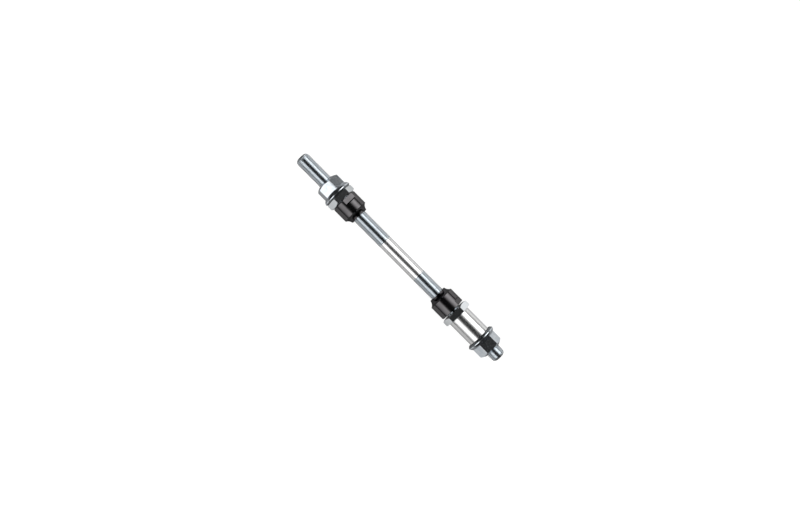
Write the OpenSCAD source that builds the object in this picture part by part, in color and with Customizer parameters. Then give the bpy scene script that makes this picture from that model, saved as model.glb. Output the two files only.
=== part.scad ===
// Solid rear hub axle with its cones, locknuts, spacer and flanged nuts.
// The axle lies along Y with its middle at the origin. The left end of the
// wheel is at +Y, the drive side with the spacer is at -Y, and +Z is up.

/* [Axle] */
// Length of the axle over both domed ends
axle_len = 175; // [165:0.5:190]
// Major diameter of the thread, 3/8 inch
thread_d = 9.525; // [9.4:0.025:10]
// Diameter of the plain stretch between the two threads
plain_d = 8.9; // [8.7:0.05:9.35]
// Length of thread from the left end
left_thread_len = 74.3; // [68:0.1:78]
// Length of thread from the right end
right_thread_len = 71.8; // [68:0.1:78]
// Length of the taper where each thread runs out
runout_len = 0.8; // [0.4:0.1:2]
// Radius that rounds each end of the axle
end_round = 2.8; // [1:0.1:3.6]

/* [Cones] */
// Length of a cone
cone_len = 13.6; // [12:0.1:16]
// Diameter of a cone's body
cone_d = 17; // [16.4:0.1:18.4]
// Diameter of the nose at a cone's inner end
nose_d = 11.9; // [11.6:0.1:13]
// Length of a cone that the ball track takes up
track_len = 3.5; // [3:0.1:5]
// Radius of the hollow that the balls run in
track_r = 4.7; // [3.5:0.1:7]
// Distance across a cone's two wrench flats
cone_flats = 15; // [14:0.1:16]
// Length of the wrench flats
cone_flats_len = 3.3; // [2.5:0.1:5]
// Distance from the middle of the axle to the left cone's nose
left_nose_at = 35.9; // [34:0.1:39]
// Distance from the middle of the axle to the right cone's nose
right_nose_at = 32.4; // [31:0.1:36]

/* [Locknuts] */
// Distance across a locknut's flats
locknut_flats = 17; // [16:0.1:18]
// Thickness of a locknut
locknut_h = 4; // [3:0.1:5]
// Height that the chamfer on a locknut's inner face takes off its corners
inner_chamfer_h = 0.7; // [0.3:0.05:0.75]
// The same on its outer face, which clamps the frame or the spacer
outer_chamfer_h = 0.3; // [0.1:0.05:0.75]
// Gap left open between the left cone and its locknut
left_locknut_gap = 0.4; // [0.2:0.1:1.5]
// Gap left open between the right cone and its locknut
right_locknut_gap = 1; // [0.2:0.1:1.5]

/* [Spacer] */
// Outside diameter of the spacer
spacer_d = 15; // [14:0.1:16.5]
// Length of the spacer
spacer_len = 18.3; // [16:0.1:20]
// Bore of the spacer, which is plain
spacer_bore = 10; // [9.8:0.05:10.4]

/* [Axle nuts] */
// Distance across an axle nut's flats
nut_flats = 15; // [14:0.1:16]
// Height of an axle nut, flange included
nut_h = 11.6; // [10.8:0.1:13]
// Diameter of the flange
flange_d = 19.8; // [19:0.1:22]
// Height of the rim at the flange's edge
rim_h = 0.7; // [0.4:0.1:1.2]
// Bevel under the flange's rim
under_bevel = 0.9; // [0.4:0.1:1.2]
// Radius of the swell that rises from the rim to the hexagon
swell_r = 3.8; // [3.6:0.1:6]
// Slope of that swell where it leaves the rim
swell_slope = 67; // [55:1:70]
// Radius of the dome on top of the nut
top_dome_r = 14.5; // [13:0.1:18]
// Number of teeth under the flange
teeth = 30; // [20:1:32]
// Depth of the grooves between the teeth
tooth_depth = 0.3; // [0.2:0.05:0.4]
// Diameter of the shallow recess inside the ring of teeth
recess_d = 13; // [12.8:0.1:14]
// Depth of that recess
recess_depth = 0.45; // [0.45:0.05:0.6]

/* [Turned on the axle] */
// Turn of the left axle nut about the axle
left_nut_turn = -16.4; // [-30:0.1:30]
// Turn of the left locknut about the axle
left_locknut_turn = 7.3; // [-30:0.1:30]
// Turn of the left cone's flats about the axle
left_cone_turn = 23; // [-90:0.5:90]
// Turn of the right axle nut about the axle
right_nut_turn = 4.3; // [-30:0.1:30]
// Turn of the right locknut about the axle
right_locknut_turn = -4; // [-30:0.1:30]
// Turn of the right cone's flats about the axle
right_cone_turn = 61; // [-90:0.5:90]

/* [Hidden] */
$fn = 96;
running_gap = 0.05;                        // radial room of a threaded bore round the axle
face_gap = 0.05;                           // room left between faces that press together
edge = 0.3;                                // chamfer that breaks a turned edge
countersink = 0.6;                         // chamfer at each mouth of a threaded bore
shoulder = 0.1;                            // step between the rim of a flange and its swell
cut = 1;                                   // how far a cutting tool runs past a face

thread_r = thread_d / 2;
bore_r = thread_r + running_gap;
left_cone_face = left_nose_at + cone_len;
right_cone_face = right_nose_at + cone_len;
left_locknut_at = left_cone_face + left_locknut_gap;
right_locknut_at = right_cone_face + right_locknut_gap;
left_nut_at = left_locknut_at + locknut_h + face_gap;
spacer_at = right_locknut_at + locknut_h + face_gap;
right_nut_at = spacer_at + spacer_len + face_gap;

zinc = "#c9ced1";
bright_zinc = "#e2e4e3";
black_oxide = "#2b2727";

// Stands a part that was drawn along Z on the axle, its +Z towards the left end.
module facing_left(at, turn = 0) {
    translate([0, at, 0])
        rotate([-90, 0, 0])
            rotate([0, 0, turn])
                children();
}

// The same for the right end. The turn is seen from the same side as on the left.
module facing_right(at, turn = 0) {
    translate([0, -at, 0])
        rotate([90, 0, 0])
            rotate([0, 0, -turn])
                children();
}

module hexagon(flats, height) {
    cylinder(d = flats / cos(30), h = height, $fn = 6);
}

// What a threaded bore takes out of a part of this height, with a chamfer at each mouth.
module threaded_bore(height, r = bore_r, mouth = countersink) {
    translate([0, 0, -cut])
        cylinder(r = r, h = height + 2 * cut);
    for (end = [0, 1])
        translate([0, 0, end * height])
            rotate([180 * end, 0, 0])
                translate([0, 0, -cut])
                    cylinder(r1 = r + mouth + cut, r2 = r, h = mouth + cut);
}

// A round bar with its edges broken, which trims the corners of what it meets.
module broken_bar(r, height, bottom = edge, top = edge) {
    rotate_extrude()
        polygon([
            [0, 0], [r - bottom, 0], [r, bottom],
            [r, height - top], [r - top, height], [0, height]
        ]);
}

// One rounded end of the axle, from where the rounding starts.
module rounded_end() {
    rotate_extrude() {
        square([thread_r - end_round, end_round]);
        translate([thread_r - end_round, 0])
            intersection() {
                circle(r = end_round);
                square(end_round);
            }
    }
}

// Half of the axle from its thread's run-out to its end, along +Z.
module threaded_end(thread_len) {
    straight = axle_len / 2 - end_round;
    start = axle_len / 2 - thread_len;
    translate([0, 0, start + runout_len])
        cylinder(r = thread_r, h = straight - start - runout_len);
    translate([0, 0, start])
        cylinder(d1 = plain_d, r2 = thread_r, h = runout_len);
    translate([0, 0, straight])
        rounded_end();
}

module axle() {
    plain_left = axle_len / 2 - left_thread_len;
    plain_right = axle_len / 2 - right_thread_len;
    color(zinc) {
        facing_left(-plain_right)
            cylinder(d = plain_d, h = plain_left + plain_right);
        facing_left(0)
            threaded_end(left_thread_len);
        facing_right(0)
            threaded_end(right_thread_len);
    }
}

// Ring that hollows the ball track into a cone, from its nose to its body.
// The hollow's centre lies square to the middle of the chord that the track spans.
module ball_track() {
    body_r = cone_d / 2;
    nose_r = nose_d / 2;
    chord = [body_r - nose_r, track_len];
    half = norm(chord) / 2;
    rise = sqrt(track_r * track_r - half * half);
    centre = [nose_r, 0] + chord / 2 + rise * [track_len, -chord[0]] / norm(chord);
    rotate_extrude()
        translate(centre)
            circle(r = track_r, $fn = 180);
}

// A bearing cone along Z: nose and ball track at the bottom, wrench flats at the top.
module cone() {
    color(black_oxide)
        difference() {
            broken_bar(cone_d / 2, cone_len, bottom = 0);
            ball_track();
            for (flat = [0, 180])
                rotate([0, 0, flat])
                    translate([-cone_d, cone_flats / 2, cone_len - cone_flats_len])
                        cube([2 * cone_d, cone_d, cone_flats_len + cut]);
            threaded_bore(cone_len);
        }
}

// A thin locknut along Z. Its inner face is chamfered and its outer face nearly flat.
module locknut() {
    corner_r = locknut_flats / 2 / cos(30);
    inner_r = corner_r - inner_chamfer_h / tan(30);
    outer_r = corner_r - outer_chamfer_h / tan(30);
    color(bright_zinc)
        difference() {
            intersection() {
                hexagon(locknut_flats, locknut_h);
                rotate_extrude()
                    polygon([
                        [0, 0], [inner_r, 0], [corner_r, inner_chamfer_h],
                        [corner_r, locknut_h - outer_chamfer_h], [outer_r, locknut_h],
                        [0, locknut_h]
                    ]);
            }
            threaded_bore(locknut_h);
        }
}

// The plain spacer along Z.
module spacer() {
    color(bright_zinc)
        difference() {
            broken_bar(spacer_d / 2, spacer_len);
            threaded_bore(spacer_len, r = spacer_bore / 2, mouth = edge);
        }
}

// The flange along Z: bevelled underneath, a narrow rim, then a swell up to the hexagon.
module flange() {
    rim_r = flange_d / 2;
    rim_top = under_bevel + rim_h;
    foot_r = rim_r - shoulder;
    rotate_extrude() {
        polygon([
            [0, 0], [rim_r - under_bevel, 0], [rim_r, under_bevel],
            [rim_r, rim_top], [0, rim_top]
        ]);
        intersection() {
            translate([foot_r, rim_top] - swell_r * [sin(swell_slope), cos(swell_slope)])
                circle(r = swell_r);
            translate([0, rim_top])
                square([rim_r, swell_r]);
        }
    }
}

// One groove between two teeth of the flange, as a V from the recess out past the rim.
module tooth_groove() {
    half_w = 0.4 * PI * recess_d / teeth;
    start_r = recess_d / 2 - cut / 2;
    rotate([90, 0, 0])
        translate([0, 0, start_r])
            linear_extrude(height = flange_d / 2)
                polygon([
                    [-half_w, 0], [0, tooth_depth], [half_w, 0],
                    [half_w, -cut], [-half_w, -cut]
                ]);
}

// An axle nut along Z: toothed flange at the bottom, and a hexagon above with a domed top.
// Its full height is at the chamfer of the bore, where the dome ends.
module axle_nut() {
    mouth_r = bore_r + countersink;
    dome_at = nut_h - sqrt(top_dome_r * top_dome_r - mouth_r * mouth_r);
    color(zinc)
        difference() {
            union() {
                intersection() {
                    hexagon(nut_flats, nut_h);
                    translate([0, 0, dome_at])
                        sphere(r = top_dome_r, $fn = 180);
                }
                flange();
            }
            translate([0, 0, recess_depth])
                threaded_bore(nut_h - recess_depth);
            translate([0, 0, -cut])
                cylinder(d = recess_d, h = recess_depth + cut);
            for (i = [0 : teeth - 1])
                rotate([0, 0, 360 * i / teeth])
                    tooth_groove();
        }
}

module left_cone() facing_left(left_nose_at, left_cone_turn) cone();
module left_locknut() facing_left(left_locknut_at, left_locknut_turn) locknut();
module left_axle_nut() facing_left(left_nut_at, left_nut_turn) axle_nut();
module right_cone() facing_right(right_nose_at, right_cone_turn) cone();
module right_locknut() facing_right(right_locknut_at, right_locknut_turn) locknut();
module right_spacer() facing_right(spacer_at) spacer();
module right_axle_nut() facing_right(right_nut_at, right_nut_turn) axle_nut();

axle();
left_cone();
left_locknut();
left_axle_nut();
right_cone();
right_locknut();
right_spacer();
right_axle_nut();
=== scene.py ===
# Looks of the rear hub axle: cut threads, ground and plated steel, and a plain studio.
import math
import bpy
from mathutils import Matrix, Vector


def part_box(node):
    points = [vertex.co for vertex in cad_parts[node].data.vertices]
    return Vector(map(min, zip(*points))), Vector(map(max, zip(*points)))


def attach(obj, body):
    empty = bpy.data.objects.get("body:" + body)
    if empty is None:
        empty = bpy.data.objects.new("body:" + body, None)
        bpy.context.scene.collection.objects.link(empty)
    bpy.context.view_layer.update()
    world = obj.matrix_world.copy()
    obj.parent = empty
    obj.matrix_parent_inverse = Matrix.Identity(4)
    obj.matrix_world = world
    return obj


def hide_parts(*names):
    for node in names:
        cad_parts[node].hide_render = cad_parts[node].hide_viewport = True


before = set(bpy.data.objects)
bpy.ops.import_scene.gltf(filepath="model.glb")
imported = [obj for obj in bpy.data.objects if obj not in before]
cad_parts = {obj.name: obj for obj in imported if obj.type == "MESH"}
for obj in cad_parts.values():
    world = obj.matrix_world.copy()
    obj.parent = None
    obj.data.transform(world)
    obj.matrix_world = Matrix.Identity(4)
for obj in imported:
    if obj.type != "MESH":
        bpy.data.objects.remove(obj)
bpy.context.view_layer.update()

mm = 0.001  # the frame is in metres, the values below are in millimetres
near = 0.01  # places closer than this, in mm, are taken as one
hair = 0.001  # a step in mm that is too small to see
axisTurn = (math.pi / 2, 0, 0)  # lays a primitive's own axis along the axle, which is Y
roundSteps = 360  # columns round a turned or hexagonal piece


# Where a node begins and ends along the axle, in mm, from its inner face outwards
def ends(node):
    low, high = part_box(node)
    span = (low.y / mm, high.y / mm)
    return span if low.y > 0 else span[::-1]


# Shader maths: a wrapped socket that adds its Math nodes when it is used in an expression
class Signal:
    def __init__(self, maker, socket):
        self.maker = maker
        self.socket = socket

    def join(self, operation, first, second=0.0):
        inputs = {0: first, 1: second}
        return self.maker.node("ShaderNodeMath", {"operation": operation}, inputs)

    def absolute(self):
        return self.join("ABSOLUTE", self)

    def __add__(self, other):
        return self.join("ADD", self, other)

    def __radd__(self, other):
        return self.join("ADD", other, self)

    def __sub__(self, other):
        return self.join("SUBTRACT", self, other)

    def __rsub__(self, other):
        return self.join("SUBTRACT", other, self)

    def __mul__(self, other):
        return self.join("MULTIPLY", self, other)

    def __truediv__(self, other):
        return self.join("DIVIDE", self, other)


class NodeMaker:
    def __init__(self, tree):
        self.tree = tree
        tree.nodes.clear()

    # Adds a node, sets its settings first and then its sockets, and gives back one output
    def node(self, kind, settings=None, inputs=None, output=0):
        made = self.tree.nodes.new(kind)
        for key, value in (settings or {}).items():
            if key == "stops":
                self.setRamp(made.color_ramp, value)
            else:
                setattr(made, key, value)
        for key, value in (inputs or {}).items():
            self.fill(made.inputs[key], value)
        return Signal(self, made.outputs[output])

    def fill(self, socket, value):
        if isinstance(value, Signal):
            self.tree.links.new(value.socket, socket)
        else:
            socket.default_value = value

    def setRamp(self, ramp, stops):
        while len(ramp.elements) < len(stops):
            ramp.elements.new(1.0)
        for element, (place, colour) in zip(ramp.elements, stops):
            element.position = place
            element.color = (*colour, 1)

    # Reads a list of (place, grey or colour) stops at a place in the stops' own unit
    def ramp(self, stops, place, top=1.0):
        low, high = stops[0][0], stops[-1][0]
        scaled = []
        for at, level in stops:
            colour = level if isinstance(level, tuple) else (level / top,) * 3
            scaled.append(((at - low) / (high - low), colour))
        share = (place - low) / (high - low)
        return self.node("ShaderNodeValToRGB", {"stops": scaled}, {"Fac": share})

    def noise(self, place, scale, detail, harshness):
        return self.node("ShaderNodeTexNoise", inputs={
            "Vector": place, "Scale": scale, "Detail": detail, "Roughness": harshness})

    def bump(self, height, strength, distance, inputs=None):
        return self.node("ShaderNodeBump", inputs={
            "Height": height, "Strength": strength, "Distance": distance, **(inputs or {})})

    # One part of a place: "X", "Y" or "Z"
    def part(self, place, axis):
        return self.node("ShaderNodeSeparateXYZ", inputs={0: place}, output=axis)

    def finish(self, shader, kind="ShaderNodeOutputMaterial"):
        out = self.tree.nodes.new(kind)
        self.tree.links.new(shader.socket, out.inputs["Surface"])


def newMaterial(name):
    material = bpy.data.materials.new(name)
    material.use_nodes = True
    return material, NodeMaker(material.node_tree)


# Materials

platedLook = {
    "roughness": 0.17, "roughnessSpread": 0.10, "tintScale": 90.0, "brushDepth": 0.02,
    "waveScale": 420.0, "waveDepth": 0.3, "bumpHeight": 0.1,
}
# How a look changes along the axle: distances in mm from one place, with a tint (a grey or a
# colour) and the roughness that is added there
evenLook = {"start": 0.0, "tints": [(0, 1), (100, 1)], "rougher": [(0, 0.0), (100, 0.0)]}
cloudRange = (0.35, 0.65)  # where a cloud's noise goes from the first tint to the second
noiseMiddle = 0.5


# The two close tints in soft clouds, tinted along the axle, and the roughness that is added there.
# On the nuts and cones the tint along the axle is painted shade
def alongLook(make, place, clouds, tints, change):
    far = (make.part(place, "Y") / mm - change["start"]).absolute()
    cloudy = make.ramp(list(zip(cloudRange, tints)), clouds)
    tint = make.node("ShaderNodeMixRGB", {"blend_type": "MULTIPLY"}, {
        0: 1.0, 1: cloudy, 2: make.ramp(change["tints"], far)})
    return tint, make.ramp(change["rougher"], far)


# Bright zinc plate over machined steel: two close tints in soft clouds, fine tool marks, soft waves
def platedSteel(name, tints, stretch, change=None, alongAxis=evenLook):
    look = {**platedLook, **(change or {})}
    height = look["bumpHeight"] * mm
    material, make = newMaterial(name)
    place = make.node("ShaderNodeTexCoord", output="Object")
    clouds = make.noise(place, look["tintScale"], detail=4.0, harshness=0.6)
    tint, rougher = alongLook(make, place, clouds, tints, alongAxis)
    marksAt = make.node("ShaderNodeMapping", inputs={"Vector": place, "Scale": stretch})
    marks = make.noise(marksAt, scale=1.0, detail=5.0, harshness=0.65)
    rough = look["roughness"] + rougher + (marks - noiseMiddle) * look["roughnessSpread"]
    waves = make.noise(place, look["waveScale"], detail=2.0, harshness=0.5)
    wavy = make.bump(waves, look["waveDepth"], height)
    brushed = make.bump(marks, look["brushDepth"], height, {"Normal": wavy})
    shader = make.node("ShaderNodeBsdfPrincipled", inputs={
        "Base Color": tint, "Metallic": 1.0, "Roughness": rough, "Normal": brushed})
    make.finish(shader)
    return material


blackLook = {
    "roughness": 0.13, "roughnessSpread": 0.10, "tintScale": 160.0, "grain": 1400.0,
    "grainDepth": 0.05, "bumpHeight": 0.05, "edgeShine": 0.65,
    "tints": [(0.094, 0.090, 0.093), (0.118, 0.113, 0.117)],
}


# Black oxide on hardened steel: a dark warm metal with a fine even grain
def blackOxide(name, alongAxis, look=blackLook):
    material, make = newMaterial(name)
    place = make.node("ShaderNodeTexCoord", output="Object")
    clouds = make.noise(place, look["tintScale"], detail=5.0, harshness=0.6)
    tint, rougher = alongLook(make, place, clouds, look["tints"], alongAxis)
    grain = make.noise(place, look["grain"], detail=3.0, harshness=0.6)
    rough = look["roughness"] + rougher + (grain - noiseMiddle) * look["roughnessSpread"]
    grainy = make.bump(grain, look["grainDepth"], look["bumpHeight"] * mm)
    shader = make.node("ShaderNodeBsdfPrincipled", inputs={
        "Base Color": tint, "Metallic": 1.0, "Roughness": rough, "Normal": grainy,
        "Specular Tint": (*[look["edgeShine"]] * 3, 1)})
    make.finish(shader)
    return material


alongAxle = (2600.0, 180.0, 2600.0)  # marks drawn along the bar
roundAxle = (500.0, 9000.0, 500.0)  # marks that a lathe leaves round a piece
threadTint = (0.83, 0.88, 0.92)
# From the middle of the plain stretch, which is bare and duller. The cut end is duller still
axleLook = {
    "start": -1.25,
    "tints": [(0, 1), (14.4, 1), (14.5, threadTint), (90, threadTint)],
    "rougher": [(0, 0.11), (14.4, 0.11), (14.5, 0.0), (85.8, 0.0), (86.8, 0.35), (90, 0.35)],
}
# From a nut's clamping face: painted shade darkens the teeth and bevel, the rim keeps the full
# bright tint, and painted shade darkens the corner below the flats
nutPaintedShade = {
    "tints": [(0, 0.25), (0.95, 0.25), (1.05, 1), (1.5, 1), (1.75, (0.45, 0.45, 0.46)),
              (2.9, (0.5, 0.5, 0.51)), (3.6, 1), (12, 1)],
    "rougher": [(0, 0.12), (1.0, 0.12), (1.1, 0.0), (12, 0.0)],
}
# From a cone's nose: painted shade makes the hollow ball track blacker
conePaintedShade = {
    "tints": [(0, 0.48), (3.45, 0.48), (3.6, 1), (14, 1)],
    "rougher": [(0, 0.0), (14, 0.0)],
}

axleSteel = platedSteel(
    "axleZinc", [(0.80, 0.80, 0.80), (0.86, 0.86, 0.86)], roundAxle, alongAxis=axleLook)
nutSteel, coneSteel = {}, {}
for side in ("left", "right"):
    nutFace, coneNose = ends(side + "_axle_nut")[0], ends(side + "_cone")[0]
    # The nuts get painted shade on their teeth and bevel and in the corner below their flats
    nutSteel[side] = platedSteel(
        side + "NutZinc", [(0.63, 0.68, 0.73), (0.75, 0.79, 0.82)], alongAxle,
        {"tintScale": 300.0, "waveDepth": 0.28}, {"start": nutFace, **nutPaintedShade})
    # The cones get painted shade over the ball track
    coneSteel[side] = blackOxide(side + "BlackOxide", {"start": coneNose, **conePaintedShade})
locknutSteel = platedSteel(
    "locknutZinc", [(0.74, 0.77, 0.79), (0.79, 0.82, 0.84)], alongAxle,
    {"roughness": 0.10, "waveDepth": 0.25})
spacerSteel = platedSteel(
    "spacerZinc", [(0.75, 0.75, 0.75), (0.80, 0.80, 0.80)], roundAxle, {"roughness": 0.24})
print("materials made")


# Modelling helpers

def clearSelection():
    if bpy.context.mode != "OBJECT":
        bpy.ops.object.mode_set(mode="OBJECT")
    bpy.ops.object.select_all(action="DESELECT")


# Turns a closed section into a ring: each (radius, place) pair extrudes the last loop onwards
def turnedRing(name, section):
    clearSelection()
    radius, place = section[0]
    bpy.ops.mesh.primitive_circle_add(
        vertices=roundSteps, radius=radius * mm, location=(0, place * mm, 0), rotation=axisTurn)
    piece = bpy.context.object
    piece.name = name
    bpy.ops.object.transform_apply(location=True, rotation=True, scale=True)
    bpy.ops.object.mode_set(mode="EDIT")
    bpy.ops.mesh.select_all(action="SELECT")
    for nextRadius, nextPlace in section[1:]:
        bpy.ops.mesh.extrude_edges_move(
            TRANSFORM_OT_translate={"value": (0, (nextPlace - place) * mm, 0)})
        grow = nextRadius / radius
        bpy.ops.transform.resize(value=(grow, 1, grow), center_override=(0, 0, 0))
        radius, place = nextRadius, nextPlace
    bpy.ops.mesh.select_all(action="DESELECT")
    bpy.ops.mesh.select_non_manifold(extend=False)
    bpy.ops.mesh.bridge_edge_loops()
    bpy.ops.object.mode_set(mode="OBJECT")
    return piece


# Moves each vertex in its own (radius, angle, place) terms, angles from +Z towards +X
def reshape(piece, rule):
    for vertex in piece.data.vertices:
        x, y, z = vertex.co / mm
        radius = math.hypot(x, z)
        angle = math.atan2(x, z)
        newRadius, newPlace = rule(radius, angle, y)
        newX, newZ = newRadius * math.sin(angle), newRadius * math.cos(angle)
        vertex.co = Vector((newX, newPlace, newZ)) * mm


# Merges doubled vertices, turns the faces outwards and smooths all but the sharp edges
def closeUp(piece, sharpAngle=28.0):
    clearSelection()
    piece.select_set(True)
    bpy.context.view_layer.objects.active = piece
    bpy.ops.object.mode_set(mode="EDIT")
    bpy.ops.mesh.select_all(action="SELECT")
    bpy.ops.mesh.remove_doubles(threshold=2 * hair * mm)
    bpy.ops.mesh.dissolve_degenerate(threshold=hair * mm)
    bpy.ops.mesh.normals_make_consistent(inside=False)
    bpy.ops.object.mode_set(mode="OBJECT")
    bpy.ops.object.shade_smooth_by_angle(angle=math.radians(sharpAngle))


def dress(piece, node, material):
    piece.data.materials.clear()
    piece.data.materials.append(material)
    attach(piece, node)
    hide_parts(node)


def arc(centre, radius, start, end, count):
    angles = [start + (end - start) * i / count for i in range(count + 1)]
    return [(centre[0] + radius * math.cos(a), centre[1] + radius * math.sin(a)) for a in angles]


# Radius of a hexagon's outline at an angle, its corners rounded a little
def hexRadius(angle, across, turn, rounding):
    half = across / 2
    halfFlat = math.pi / 6  # half of the angle that one flat takes up
    fromFlat = (angle - turn + halfFlat) % (2 * halfFlat) - halfFlat
    fromCorner = halfFlat - abs(fromFlat)
    centre = (half - rounding) / math.cos(halfFlat)
    touch = math.atan2(rounding / 2, centre + rounding * math.cos(halfFlat))
    if fromCorner >= touch:
        return half / math.cos(fromFlat)
    side = centre * math.sin(fromCorner)
    return centre * math.cos(fromCorner) + math.sqrt(rounding ** 2 - side ** 2)


def hexCorner(across, rounding):
    return hexRadius(math.pi / 6, across, 0, rounding)


# Axle nuts

axleNut = {
    "across": 15.0, "rounding": 0.3, "bore": 4.8125, "mouth": 5.4125,
    "recess": 6.5, "recessDepth": 0.45, "land": 0.6,
    "flange": 9.9, "bevel": 0.9, "rim": 0.7, "rimEdge": 0.14,
    "swell": 3.8, "swellSlope": 67.0, "shoulder": 0.1, "dome": 14.5, "curveSteps": 8,
    "teeth": 30, "toothDepth": 0.3, "toothShare": 0.4,
}


def makeAxleNut(node, turn, nut=axleNut):
    inner, outer = ends(node)
    way = 1 if outer > inner else -1
    height = abs(outer - inner)
    corner = hexCorner(nut["across"], nut["rounding"])
    rimTop = nut["bevel"] + nut["rim"]
    foot = nut["flange"] - nut["shoulder"]
    slope = math.radians(nut["swellSlope"])
    swellAt = (foot - nut["swell"] * math.sin(slope), rimTop - nut["swell"] * math.cos(slope))
    domeAt = height - math.sqrt(nut["dome"] ** 2 - nut["mouth"] ** 2)
    countersink = nut["mouth"] - nut["bore"]

    def domeHeight(r):
        return domeAt + math.sqrt(nut["dome"] ** 2 - r ** 2)

    def swellHeight(r):
        return swellAt[1] + math.sqrt(nut["swell"] ** 2 - (r - swellAt[0]) ** 2)

    steps = nut["curveSteps"]
    domeRings = [nut["mouth"] + (corner - nut["mouth"]) * i / steps for i in range(steps + 1)]
    swellRings = [corner + (foot - corner) * i / steps for i in range(steps + 1)]
    section = [(nut["bore"], nut["recessDepth"] + countersink), (nut["bore"], height - countersink)]
    section += [(r, domeHeight(r)) for r in domeRings]
    section += [(r, swellHeight(r)) for r in swellRings]
    section += [
        (nut["flange"], rimTop - nut["rimEdge"]), (nut["flange"], nut["bevel"] + nut["rimEdge"]),
        (nut["flange"] - 0.5 * nut["rimEdge"], nut["bevel"]), (nut["flange"] - nut["bevel"], 0),
        (nut["recess"] + nut["land"], 0), (nut["recess"], 0),
        (nut["recess"], nut["recessDepth"]), (nut["mouth"], nut["recessDepth"]),
    ]
    piece = turnedRing(node + "Shape", [(r, inner + way * s) for r, s in section])
    toothHalf = nut["toothShare"] * math.pi * 2 * nut["recess"] / nut["teeth"]
    toothStep = 2 * math.pi / nut["teeth"]

    # The dome and the swell follow the six flats, and the clamping face gets its radial teeth
    def cut(radius, angle, place):
        height = way * (place - inner)
        outline = hexRadius(angle, nut["across"], turn, nut["rounding"])
        if height > rimTop + near and radius < foot:
            if abs(height - domeHeight(min(radius, corner))) < near:
                share = (radius - nut["mouth"]) / (corner - nut["mouth"])
                radius = nut["mouth"] + share * (outline - nut["mouth"])
                height = domeHeight(radius)
            elif radius >= corner - near:
                share = (foot - radius) / (foot - corner)
                radius = foot - share * (foot - outline)
                height = swellHeight(radius)
        if height < near and radius > nut["recess"] - near:
            off = (angle + toothStep / 2) % toothStep - toothStep / 2
            fromRidge = abs(radius * math.sin(off)) / toothHalf
            height = max(0.0, nut["toothDepth"] * (1 - fromRidge))
        return radius, inner + way * height

    reshape(piece, cut)
    closeUp(piece)
    return piece


# Locknuts

lockNut = {
    "across": 17.0, "rounding": 0.3, "bore": 4.8125, "mouth": 5.4125,
    "innerChamfer": 0.7, "outerChamfer": 0.3, "cornerDrop": 0.02,
    "ringGap": 0.2, "insets": (0.05, 0.15),
}


def makeLocknut(node, turn, nut=lockNut):
    inner, outer = ends(node)
    way = 1 if outer > inner else -1
    height = abs(outer - inner)
    corner = hexCorner(nut["across"], nut["rounding"])
    slope = math.tan(math.pi / 6)
    innerFrom = corner - nut["innerChamfer"] / slope
    outerFrom = corner - nut["outerChamfer"] / slope
    countersink = nut["mouth"] - nut["bore"]
    gap = nut["ringGap"]
    section = [
        (nut["bore"], countersink), (nut["bore"], height - countersink), (nut["mouth"], height),
        (outerFrom - gap, height), (outerFrom, height), (corner, height - nut["outerChamfer"]),
        (corner, nut["innerChamfer"]), (innerFrom, 0), (innerFrom - gap, 0), (nut["mouth"], 0),
    ]
    piece = turnedRing(node + "Shape", [(r, inner + way * s) for r, s in section])

    # The corner rings become the hexagon under its chamfers, and the two inside stay within it
    def cut(radius, angle, place):
        outline = hexRadius(angle, nut["across"], turn, nut["rounding"])
        fromMiddle = way * (place - inner) - height / 2
        start = innerFrom if fromMiddle < 0 else outerFrom
        if radius > corner - near:
            fall = max(0.0, outline - start) * slope
            fromMiddle = math.copysign(height / 2 - fall - nut["cornerDrop"], fromMiddle)
            radius = outline
        elif radius > start - 1.5 * gap:
            inset = nut["insets"][0] if radius > start - 0.5 * gap else nut["insets"][1]
            radius = min(radius, outline - inset)
        return radius, inner + way * (fromMiddle + height / 2)

    reshape(piece, cut)
    closeUp(piece)
    return piece


# Cones

bearingCone = {
    "body": 8.5, "nose": 5.95, "bore": 4.8125, "mouth": 5.4125,
    "trackLength": 3.5, "trackRadius": 4.7, "trackSteps": 16, "afterTrack": 0.1,
    "flats": 15.0, "flatsLength": 3.3, "shoulder": 0.8, "edge": 0.3, "flatEdge": 0.09,
}


def makeCone(node, turn, cone=bearingCone):
    nose, back = ends(node)
    way = 1 if back > nose else -1
    length = abs(back - nose)
    body = cone["body"]
    countersink = cone["mouth"] - cone["bore"]
    chord = Vector((body - cone["nose"], cone["trackLength"]))
    rise = math.sqrt(cone["trackRadius"] ** 2 - (chord.length / 2) ** 2)
    across = Vector((chord.y, -chord.x)) / chord.length
    hollow = Vector((cone["nose"], 0)) + chord / 2 + rise * across
    atNose = math.atan2(-hollow.y, cone["nose"] - hollow.x)
    atBody = math.atan2(cone["trackLength"] - hollow.y, body - hollow.x)
    step = length - cone["flatsLength"]
    section = [(cone["mouth"], 0)]
    section += arc(hollow, cone["trackRadius"], atNose, atBody, cone["trackSteps"])
    section += [
        (body, cone["trackLength"] + cone["afterTrack"]), (body, step), (body - hair, step),
        (body, length - cone["edge"]), (body - cone["edge"], length), (cone["mouth"], length),
        (cone["bore"], length - countersink), (cone["bore"], countersink),
    ]
    piece = turnedRing(node + "Shape", [(r, nose + way * s) for r, s in section])
    half = cone["flats"] / 2

    # Two flats from the step to the back. The step's outer ring slants forwards beside them
    def cut(radius, angle, place):
        along = way * (place - nose)
        onStep = along > step - near and radius < body - 0.5 * hair
        limit = half / max(abs(math.cos(angle - turn)), 1e-6)
        if abs(along - step) < near and not onStep:
            along -= cone["shoulder"] * max(0.0, body - limit)
        if along > step + near or onStep:
            inset = cone["flatEdge"] if along > length - near else 0.0
            if radius > cone["mouth"] + near:
                radius = min(radius, limit - inset)
        return radius, nose + way * along

    reshape(piece, cut)
    closeUp(piece)
    return piece


# Spacer

spacerTube = {"outside": 7.5, "bore": 5.0, "edge": 0.3}


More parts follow.
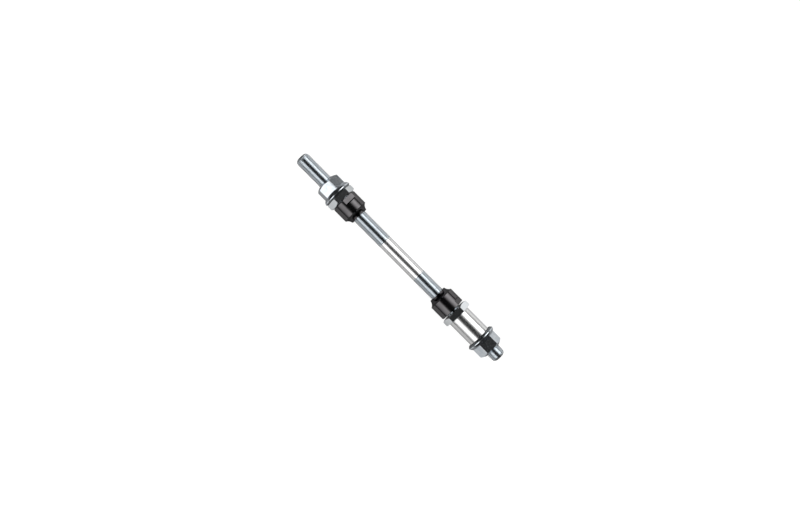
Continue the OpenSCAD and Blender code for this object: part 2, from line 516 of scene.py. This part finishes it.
def makeSpacer(node, tube=spacerTube):
    inner, outer = ends(node)
    way = 1 if outer > inner else -1
    length = abs(outer - inner)
    bore, outside, edge = tube["bore"], tube["outside"], tube["edge"]
    section = [
        (bore, edge), (bore + edge, 0), (outside - edge, 0), (outside, edge),
        (outside, length - edge), (outside - edge, length), (bore + edge, length),
        (bore, length - edge),
    ]
    piece = turnedRing(node + "Shape", [(r, inner + way * s) for r, s in section])
    closeUp(piece)
    return piece


# Axle

axleBar = {
    "threadRadius": 4.7625, "pitch": 25.4 / 26, "depthShare": 0.6134, "plainRadius": 4.45,
    "leftPlain": 13.2, "rightPlain": 15.7, "endRounding": 2.8, "runOut": 0.8, "rootRunOut": 1.6,
    "steps": 48, "plainRings": 30, "sharpAngle": 50.0,
}
# One turn's section: how far along the pitch, and how deep in parts of the full depth
threadSection = [
    (0.0, 0.0), (0.055, 0.0), (0.10, 0.08), (0.38, 0.90), (0.44, 1.0), (0.56, 1.0), (0.62, 0.90),
    (0.90, 0.08), (0.945, 0.0), (1.0, 0.0),
]


# Thread from one end of the plain middle to the end of the axle, its roots rising at the run-out
def makeThread(start, end, bar=axleBar):
    pitch, crestRadius, rounding = bar["pitch"], bar["threadRadius"], bar["endRounding"]
    depth = bar["depthShare"] * pitch
    low, high = min(start, end), max(start, end)
    points = [((crestRadius - depth * deep) * mm, (low + (along - 1) * pitch) * mm, 0)
              for along, deep in threadSection]
    mesh = bpy.data.meshes.new("axleThread")
    mesh.from_pydata(points, [(i, i + 1) for i in range(len(points) - 1)], [])
    thread = bpy.data.objects.new("axleThread", mesh)
    bpy.context.scene.collection.objects.link(thread)
    clearSelection()
    thread.select_set(True)
    bpy.context.view_layer.objects.active = thread
    turning = thread.modifiers.new("turning", "SCREW")
    turning.axis = "Y"
    turning.screw_offset = pitch * mm
    turning.iterations = math.ceil((high - low) / pitch) + 2
    turning.steps = bar["steps"]
    turning.render_steps = bar["steps"]
    bpy.ops.object.modifier_apply(modifier=turning.name)

    # Cuts the thread off at both ends, fades it into the plain bar and rounds the axle's end
    def trim(radius, angle, place):
        place = min(max(place, low), high)
        along = abs(place - start)
        toEnd = high - low - along
        rising = min(1.0, along / bar["runOut"])
        crest = bar["plainRadius"] + rising * (crestRadius - bar["plainRadius"])
        sinking = min(1.0, along / bar["rootRunOut"])
        root = bar["plainRadius"] - sinking * (bar["plainRadius"] - crestRadius + depth)
        if toEnd < rounding:
            height = math.sqrt(rounding ** 2 - (rounding - toEnd) ** 2)
            crest = crestRadius - rounding + height
        return min(max(radius, root), crest), place

    reshape(thread, trim)
    bpy.ops.object.mode_set(mode="EDIT")
    bpy.ops.mesh.select_all(action="SELECT")
    bpy.ops.mesh.remove_doubles(threshold=3 * hair * mm)
    bpy.ops.mesh.select_all(action="DESELECT")
    bpy.ops.object.mode_set(mode="OBJECT")
    for vertex in thread.data.vertices:
        vertex.select = abs(vertex.co.y / mm - end) < hair
    bpy.ops.object.mode_set(mode="EDIT")
    bpy.ops.mesh.edge_face_add()
    bpy.ops.object.mode_set(mode="OBJECT")
    return thread


def makeAxle(bar=axleBar):
    low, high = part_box("axle")
    left = makeThread(bar["leftPlain"], high.y / mm)
    right = makeThread(-bar["rightPlain"], low.y / mm)
    clearSelection()
    left.select_set(True)
    right.select_set(True)
    bpy.context.view_layer.objects.active = left
    bpy.ops.object.join()
    left.name = "axleShape"
    bpy.ops.object.mode_set(mode="EDIT")
    bpy.ops.mesh.select_all(action="DESELECT")
    bpy.ops.mesh.select_non_manifold(extend=False)
    bpy.ops.mesh.bridge_edge_loops(number_cuts=bar["plainRings"], interpolation="LINEAR")
    bpy.ops.object.mode_set(mode="OBJECT")
    closeUp(left, bar["sharpAngle"])
    return left


# Where each piece's first flat faces, in degrees from straight up towards +X
turns = {
    "left_axle_nut": -16.4, "left_locknut": 7.3, "left_cone": 23.0,
    "right_axle_nut": 4.3, "right_locknut": -4.0, "right_cone": 61.0,
}
dress(makeAxle(), "axle", axleSteel)
print("axle made")
for side in ("left", "right"):
    for kind, makePiece, steel in (
            ("cone", makeCone, coneSteel[side]), ("locknut", makeLocknut, locknutSteel),
            ("axle_nut", makeAxleNut, nutSteel[side])):
        node = side + "_" + kind
        dress(makePiece(node, math.radians(turns[node])), node, steel)
    print(side + " cone, locknut and axle nut made")
dress(makeSpacer("right_spacer"), "right_spacer", spacerSteel)
print("spacer made")


# Studio

studio = {
    "floorSize": 8.0, "floorLevel": -9.95, "floorColour": 0.86,
    "cameraShare": 0.7, "cameraWhite": 1.22, "glossShare": 1.0,
    "lampAngle": 52.0, "lampDistance": 0.75, "lampWidth": 0.80, "lampLength": 1.8,
    "lampLevel": 1.45, "fill": 0.3,
    "tentRadius": 0.9, "tentHalf": 1.8, "tentSides": 96, "endLevel": 0.05,
}
# What polished metal sees above it: angle from straight up towards +X in degrees, and brightness
tentLevels = [
    (-90, 0.13), (-82, 0.15), (-76, 0.40), (-70, 0.90), (-62, 1.35), (-54, 1.58), (-45, 1.70),
    (-38, 1.74), (-32, 1.55), (-28, 0.85), (-23, 0.18), (-17, 0.04), (-10, 0.028), (10, 0.028),
    (17, 0.04), (23, 0.18), (28, 0.60), (33, 1.12), (39, 1.58), (47, 2.20), (57, 2.60),
    (66, 2.20), (74, 1.15), (80, 0.20), (85, 0.09), (90, 0.09),
]
# The same along the axle: distance from its middle in tent halves, and share of the brightness
tentFade = [(0.0, 1.0), (0.24, 1.0), (0.40, 0.12), (0.55, 0.03), (1.0, 0.03)]
tentEnd = 0.999  # beyond this, in tent halves, it is the tent's flat end

# What polished metal sees in the white floor, painted: a painted shadow in a dark stripe under the
# axle, painted light brighter on +X than on -X, and a painted falloff beyond the axle's ends.
# Across the axle in mm, then away from its middle
floorPaintedShadow = [
    (-60, 0.66), (-40, 0.62), (-26, 0.60), (-16, 0.36), (-11, 0.27), (-6, 0.08),
    (6, 0.08), (11, 0.43), (16, 0.56), (24, 0.69), (40, 1.0), (60, 0.90),
]
floorPaintedFalloff = [(0, 1.0), (98, 1.0), (125, 0.18), (400, 0.04)]


def emission(make, level):
    return make.node("ShaderNodeEmission", inputs={"Color": (1, 1, 1, 1), "Strength": level})


# White paper: brighter for the camera, with painted shadow and painted light where reflections see
# it, and clear from below
def makeFloor():
    clearSelection()
    bpy.ops.mesh.primitive_plane_add(
        size=studio["floorSize"], location=(0, 0, studio["floorLevel"] * mm))
    floor = bpy.context.object
    floor.name = "floor"
    bpy.ops.object.transform_apply(location=True)
    material, make = newMaterial("floorPaper")
    seen = make.node("ShaderNodeLightPath", output="Is Camera Ray")
    glossy = make.node("ShaderNodeLightPath", output="Is Glossy Ray")
    clear = make.node("ShaderNodeLightPath", output="Is Transmission Ray")
    paperColour = (*[studio["floorColour"]] * 3, 1)
    paper = make.node("ShaderNodeBsdfDiffuse", inputs={"Color": paperColour})
    place = make.node("ShaderNodeTexCoord", output="Object")
    # Reflections see a painted shadow under the axle, painted light on the +X side and a painted
    # falloff away from the middle
    side = make.ramp(floorPaintedShadow, make.part(place, "X") / mm)
    fall = make.ramp(floorPaintedFalloff, make.part(place, "Y").absolute() / mm)
    white = emission(make, glossy * side * fall + (seen + clear) * studio["cameraWhite"])
    share = (seen + clear) * studio["cameraShare"] + glossy * studio["glossShare"]
    sheet = make.node("ShaderNodeMixShader", inputs={0: share, 1: paper, 2: white})
    behind = make.node("ShaderNodeNewGeometry", output="Backfacing")
    through = make.node("ShaderNodeBsdfTransparent")
    make.finish(make.node("ShaderNodeMixShader", inputs={0: behind, 1: sheet, 2: through}))
    floor.data.materials.append(material)


# A long tent round the axle that only reflections see: softboxes at its sides, dark card overhead
def makeTent():
    clearSelection()
    bpy.ops.mesh.primitive_cylinder_add(
        vertices=studio["tentSides"], radius=studio["tentRadius"],
        depth=2 * studio["tentHalf"], rotation=axisTurn)
    tent = bpy.context.object
    tent.name = "tent"
    bpy.ops.object.transform_apply(rotation=True)
    material, make = newMaterial("tentCloth")
    place = make.node("ShaderNodeTexCoord", output="Object")
    across, up = make.part(place, "X"), make.part(place, "Z")
    angle = across.join("ARCTAN2", across, up) * math.degrees(1)
    along = make.part(place, "Y").absolute() / studio["tentHalf"]
    top = max(level for _, level in tentLevels)
    ring = make.ramp(tentLevels, angle, top)
    fade = make.ramp(tentFade, along)
    atEnd = along.join("GREATER_THAN", along, tentEnd)
    make.finish(emission(make, ring * fade * top + atEnd * studio["endLevel"]))
    tent.data.materials.append(material)
    tent.visible_camera = False
    tent.visible_diffuse = False
    tent.visible_transmission = False
    tent.visible_shadow = False


# Two long area lamps that light what isn't a mirror, such as the floor
def makeLamp(way):
    angle = math.radians(studio["lampAngle"])
    data = bpy.data.lights.new("lamp", "AREA")
    data.shape = "RECTANGLE"
    data.size = studio["lampWidth"]
    data.size_y = studio["lampLength"]
    data.energy = studio["lampLevel"] * math.pi * studio["lampWidth"] * studio["lampLength"]
    lamp = bpy.data.objects.new(data.name, data)
    distance = studio["lampDistance"]
    lamp.location = (way * distance * math.sin(angle), 0, distance * math.cos(angle))
    lamp.rotation_euler = (0, way * angle, 0)
    lamp.visible_camera = False
    lamp.visible_glossy = False
    bpy.context.scene.collection.objects.link(lamp)


# The world is white, and dimmer where it only fills shadows
def makeWorld():
    world = bpy.data.worlds.new("studio")
    world.use_nodes = True
    make = NodeMaker(world.node_tree)
    diffuse = make.node("ShaderNodeLightPath", output="Is Diffuse Ray")
    sky = make.node("ShaderNodeBackground", inputs={
        "Color": (1, 1, 1, 1), "Strength": 1 - diffuse * (1 - studio["fill"])})
    make.finish(sky, "ShaderNodeOutputWorld")
    bpy.context.scene.world = world
    bpy.context.scene.view_settings.view_transform = "Standard"


makeFloor()
makeTent()
for way in (1, -1):
    makeLamp(way)
makeWorld()
print("studio made")


# Camera: straight above the axle, turned so that its left end points to the upper left

photo = {
    "width": 800, "pixelsPerMm": 1.614, "lens": 50.0, "sensor": 36.0, "axleAngle": 45.13,
    "middle": (400.32, 257.22), "frameMiddle": (400.0, 258.0), "clip": (0.01, 20.0),
}


def makeCamera():
    data = bpy.data.cameras.new("camera")
    data.lens = photo["lens"]
    data.sensor_width = photo["sensor"]
    data.clip_start, data.clip_end = photo["clip"]
    camera = bpy.data.objects.new("camera", data)
    seenWidth = photo["width"] / photo["pixelsPerMm"] * mm
    distance = seenWidth * photo["lens"] / photo["sensor"]
    roll = -(math.pi / 2 - math.radians(photo["axleAngle"]))
    right = Vector((math.cos(roll), math.sin(roll), 0))
    up = Vector((-math.sin(roll), math.cos(roll), 0))
    acrossPx = photo["middle"][0] - photo["frameMiddle"][0]
    downPx = photo["middle"][1] - photo["frameMiddle"][1]
    aim = (up * downPx - right * acrossPx) / photo["pixelsPerMm"] * mm
    camera.location = aim + Vector((0, 0, distance))
    camera.rotation_euler = (0, 0, roll)
    bpy.context.scene.collection.objects.link(camera)
    bpy.context.scene.camera = camera


makeCamera()
print("camera made")
